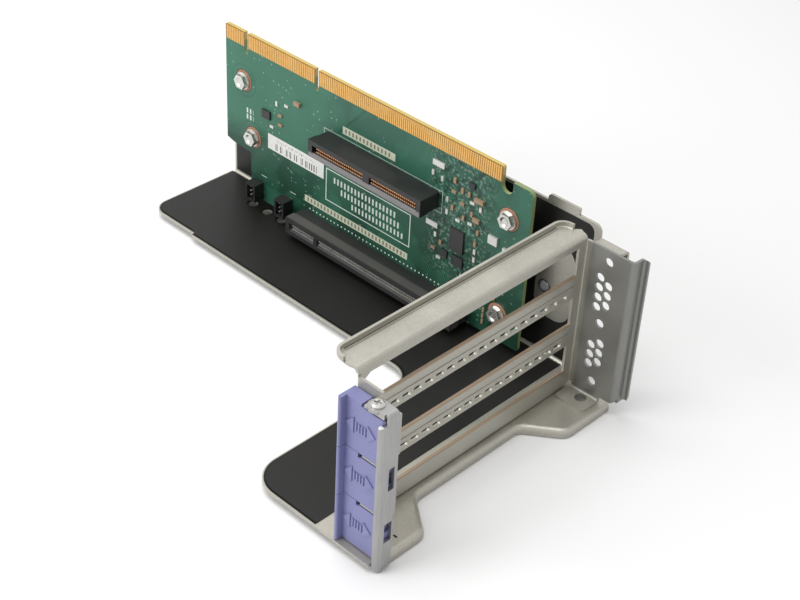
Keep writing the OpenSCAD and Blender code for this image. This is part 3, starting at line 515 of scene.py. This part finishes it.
def tracks(tree, colour, place):
    """Bundles of parallel lines, each shown where its own noise is high."""
    for turn, scale, noise_scale, level in TRACK_BUNDLES:
        turned = tree.nodes.new("ShaderNodeVectorRotate")
        turned.rotation_type = "Y_AXIS"
        turned.inputs["Angle"].default_value = turn
        tree.links.new(place, turned.inputs["Vector"])
        wave = tree.nodes.new("ShaderNodeTexWave")
        wave.bands_direction = "X"
        wave.inputs["Scale"].default_value = scale
        wave.inputs["Distortion"].default_value = 0.0
        tree.links.new(turned.outputs["Vector"], wave.inputs["Vector"])
        lines = ramp(tree, wave.outputs["Fac"], 0.60, 0.75)
        shown = ramp(tree, noise(tree, noise_scale, 1.0), level, level + 0.03)
        colour = lay(tree, colour, times(tree, lines, shown), (0.045, 0.190, 0.120), 0.5)
    return colour


def crowded_part(tree, colour, x, z):
    """Pale pads and dark gaps between the small parts, from two noises, in a
    soft upright band beside the card slots."""
    band = times(tree, rise(tree, x, -73, -66), fall(tree, x, -46, -37), rise(tree, z, 16, 24))
    pads = math_node(tree, "GREATER_THAN", noise(tree, 760.0, 0.0), 0.60)
    colour = lay(tree, colour, times(tree, band, pads), (0.26, 0.34, 0.28), 0.45)
    gaps = ramp(tree, noise(tree, 330.0, 1.0), 0.50, 0.60)
    return lay(tree, colour, times(tree, band, gaps), (0.004, 0.026, 0.016), 0.7)


def vias(tree, colour, place):
    """Small pale dots: near the points of a Voronoi pattern, thinned out by
    a broad noise."""
    points = tree.nodes.new("ShaderNodeTexVoronoi")
    points.inputs["Scale"].default_value = 420.0
    tree.links.new(place, points.inputs["Vector"])
    near = math_node(tree, "LESS_THAN", points.outputs["Distance"], 0.16)
    shown = math_node(tree, "GREATER_THAN", noise(tree, 55.0, 1.0), 0.50)
    return lay(tree, colour, times(tree, near, shown), (0.34, 0.44, 0.36), 0.55)


def legend(tree, colour, x, z):
    """Printed frames, rows of plain strokes and short lines, two pale strips
    with dark strokes, a row of solder dots over the long slot and a row of
    dark ones along the top of the short slot."""
    marks = [outline(tree, x, z, limits, line) for limits, line in LEGEND_FRAMES]
    marks += [dashes(tree, x, z, limits) for limits in LEGEND_DASHES]
    marks += [patch(tree, x, z, *limits) for limits in LEGEND_LINES]
    colour = lay(tree, colour, either(tree, *marks), LEGEND)
    strips = either(tree, *[patch(tree, x, z, *limits) for limits in PALE_STRIPS])
    colour = lay(tree, colour, strips, (0.56, 0.58, 0.44))
    strokes = either(tree, *[dashes(tree, x, z, limits) for limits in STRIP_DASHES])
    colour = lay(tree, colour, strokes, (0.06, 0.07, 0.05), 0.75)
    solder = dots(tree, x, z, first=-133.1, last=-47.0, pitch=2.0, height=12.6, radius=0.36)
    colour = lay(tree, colour, solder, (0.80, 0.80, 0.74))
    holes = dots(tree, x, z, first=-122.6, last=-67.4, pitch=1.0, height=51.6, radius=0.36)
    return lay(tree, colour, holes, (0.02, 0.03, 0.02))


def screw_pads(tree, colour, x, z):
    """A copper ring round each screw, with a thin dark edge."""
    for centre in LEFT_SCREWS + RIGHT_SCREWS:
        colour = lay(tree, colour, ring(tree, x, z, centre, 3.2, 4.45), (0.38, 0.18, 0.10))
        colour = lay(tree, colour, ring(tree, x, z, centre, 4.45, 4.8), (0.012, 0.045, 0.030))
    return colour


def board_edges(tree, colour, x, y, z):
    """Brown laminate between and round the gold fingers, and pale green on
    the cut edges, which turns yellow along the card edge."""
    finger_right = span("edge_contacts_front", "X")[1]
    finger_low = span("edge_contacts_front", "Z")[0]
    pad = box(X=(None, finger_right + 1.35), Z=(finger_low - 0.1, None))
    colour = lay(tree, colour, pad(tree, {"X": x, "Z": z}), (0.26, 0.135, 0.025))
    front, rear = span("riser_board", "Y")
    cut = times(tree, above(tree, y, front + 0.04), below(tree, y, rear - 0.04))
    laminate = mix_colour(tree, rise(tree, z, 71.2, 72.2), (0.26, 0.32, 0.13), (0.62, 0.46, 0.13))
    return mix_colour(tree, cut, colour, laminate)


def board_material():
    """The board's colour from its layers, with a soft sheen and a fine bump."""
    mat = bpy.data.materials.new("board green")
    mat.use_nodes = True
    tree = mat.node_tree
    shader = tree.nodes["Principled BSDF"]
    place, xyz = object_xyz(tree)
    x, y, z = xyz["X"], xyz["Y"], xyz["Z"]
    colour = solder_mask(tree, x, z)
    colour = seams(tree, colour, x, z)
    colour = tracks(tree, colour, place)
    colour = crowded_part(tree, colour, x, z)
    colour = vias(tree, colour, place)
    colour = legend(tree, colour, x, z)
    colour = screw_pads(tree, colour, x, z)
    colour = board_edges(tree, colour, x, y, z)
    tree.links.new(colour, shader.inputs["Base Color"])
    tree.links.new(ramp(tree, noise(tree, 70.0, 3.0), 0.3, 0.7, 0.34, 0.46),
                   shader.inputs["Roughness"])
    shader.inputs["Specular IOR Level"].default_value = 0.35
    bump(tree, noise(tree, 900.0, 2.0), 0.25, 0.00005)
    return mat


PAINT = {
    "cage_body": steel, "base_insulator": film, "wall_insulator": film, "wall_nut": nut_steel_as_hole_shade,
    "slot_frame": frame_steel, "slot_rail": frame_steel, "slot_bars": frame_steel,
    "side_flange": frame_steel, "latch_bracket": post_steel, "latch_screw": screw_steel,
    "latch_bottom": blue, "latch_middle": blue, "latch_top": blue,
    "riser_board": board_material(), "edge_contacts_front": gold, "edge_contacts_rear": gold,
    "lower_connector": lower_black, "lower_contacts": pin_steel,
    "upper_connector": upper_black, "upper_contacts": copper,
    "left_header": upper_black, "right_header": upper_black, "header_pins": pin_steel,
    "board_screws": screw_steel, "board_standoffs": screw_steel,
    "buffer_chip": chip, "control_chips": chip, "chip_capacitors": tan,
    "chip_resistors": tinned, "blank_label": white,
}
for name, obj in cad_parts.items():
    obj.data.materials.clear()
    obj.data.materials.append(PAINT[name])


# ------------------------------------------------- floor, world, lamps, camera
# From here on places are in metres
FLOOR_HALF = 3.0
FLOOR_GAP = 0.0002


def make_floor():
    """A large matt square just under the part, which takes its shadow."""
    z = cad_bounds[0][2] - FLOOR_GAP
    mesh = bpy.data.meshes.new("floor")
    corners = [(-FLOOR_HALF, -FLOOR_HALF, z), (FLOOR_HALF, -FLOOR_HALF, z),
               (FLOOR_HALF, FLOOR_HALF, z), (-FLOOR_HALF, FLOOR_HALF, z)]
    mesh.from_pydata(corners, [], [(0, 1, 2, 3)])
    mat = bpy.data.materials.new("floor white")
    mat.use_nodes = True
    shader = mat.node_tree.nodes["Principled BSDF"]
    shader.inputs["Base Color"].default_value = (0.93, 0.93, 0.93, 1.0)
    shader.inputs["Roughness"].default_value = 0.9
    shader.inputs["Specular IOR Level"].default_value = 0.0
    mesh.materials.append(mat)
    obj = bpy.data.objects.new("floor", mesh)
    bpy.context.collection.objects.link(obj)
    return obj


def studio_world():
    """White to the camera, to mirrors and through glass, and a softer light
    of strength 0.42 on the part."""
    world = bpy.data.worlds.new("studio")
    bpy.context.scene.world = world
    world.use_nodes = True
    tree = world.node_tree
    background = tree.nodes["Background"]
    background.inputs["Color"].default_value = (1.0, 1.0, 1.0, 1.0)
    rays = tree.nodes.new("ShaderNodeLightPath").outputs
    seen = either(tree, rays["Is Camera Ray"], rays["Is Glossy Ray"], rays["Is Transmission Ray"])
    tree.links.new(ramp(tree, seen, 0.0, 1.0, 0.42, 1.0), background.inputs["Strength"])


def lamp(name, at, aim, size, power):
    """A square soft lamp at a place, turned toward aim."""
    light = bpy.data.lights.new(name, "AREA")
    light.shape = "SQUARE"
    light.size = size
    light.energy = power
    obj = bpy.data.objects.new(name, light)
    bpy.context.collection.objects.link(obj)
    obj.location = at
    obj.rotation_euler = (Vector(aim) - Vector(at)).to_track_quat("-Z", "Y").to_euler()


def camera(at, azimuth, elevation, roll, lens):
    """A camera at a place, which looks along a direction given by its
    azimuth from -Y and its elevation, and is rolled about it."""
    az, el, turn = (math.radians(angle) for angle in (azimuth, elevation, roll))
    back = Vector((math.sin(az) * math.cos(el), -math.cos(az) * math.cos(el), math.sin(el)))
    level = Vector((math.cos(az), math.sin(az), 0.0))
    upright = back.cross(level)
    right = math.cos(turn) * level + math.sin(turn) * upright
    up = -math.sin(turn) * level + math.cos(turn) * upright
    data = bpy.data.cameras.new("camera")
    data.sensor_width = 36.0
    data.lens = lens
    obj = bpy.data.objects.new("camera", data)
    bpy.context.collection.objects.link(obj)
    matrix = Matrix((right, up, back)).transposed().to_4x4()
    matrix.translation = Vector(at)
    obj.matrix_world = matrix
    bpy.context.scene.camera = obj


floor = make_floor()
studio_world()
PART_CENTRE = (-0.08, -0.03, 0.03)
lamp("top lamp", (-0.25, -0.15, 1.10), PART_CENTRE, size=0.9, power=9.0)
lamp("front lamp", (-0.55, -0.95, 0.55), PART_CENTRE, size=0.7, power=6.0)
camera((0.258287, -0.372649, 0.356890), azimuth=42.395, elevation=35.63, roll=3.287,
       lens=72.43758)
bpy.context.scene.view_settings.view_transform = "Standard"
